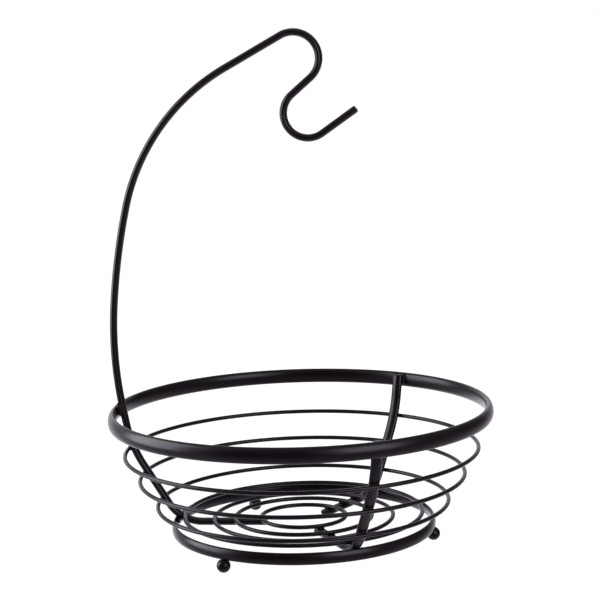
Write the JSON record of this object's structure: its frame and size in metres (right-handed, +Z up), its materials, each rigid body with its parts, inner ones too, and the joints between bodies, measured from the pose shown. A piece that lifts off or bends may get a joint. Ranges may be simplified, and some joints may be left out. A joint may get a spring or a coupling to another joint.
{
  "type": "fruit basket with banana hanger",
  "caption": "Round open wire basket with an oval rim band and foot band, carried by bent flat bars, one of which rises past the rim as an arched hanger with a hook.",
  "frame": {"origin": "on the basket's axis, on the surface that the three ball feet stand on", "axes": "+Z up along the basket's axis, -X towards the hanger arm, +Y towards the rear rib"},
  "size_m": [0.2722, 0.272, 0.3616],
  "materials": {
    "band_coat": "satin black powder coat",
    "wire_coat": "satin black powder coat",
    "bar_coat": "satin black powder coat",
    "ball_coat": "satin black powder coat"
  },
  "bodies": {
    "root": {"rim_ring": "band_coat", "foot_ring": "band_coat", "side_ring_upper": "wire_coat", "side_ring_middle": "wire_coat", "side_ring_lower": "wire_coat", "base_ring_1": "wire_coat", "base_ring_2": "wire_coat", "base_ring_3": "wire_coat", "base_ring_4": "wire_coat", "hanger_arm": "bar_coat", "rib_rear": "bar_coat", "rib_front": "bar_coat", "ball_foot_right": "ball_coat", "ball_foot_rear": "ball_coat", "ball_foot_front": "ball_coat"}
  },
  "joints": []
}
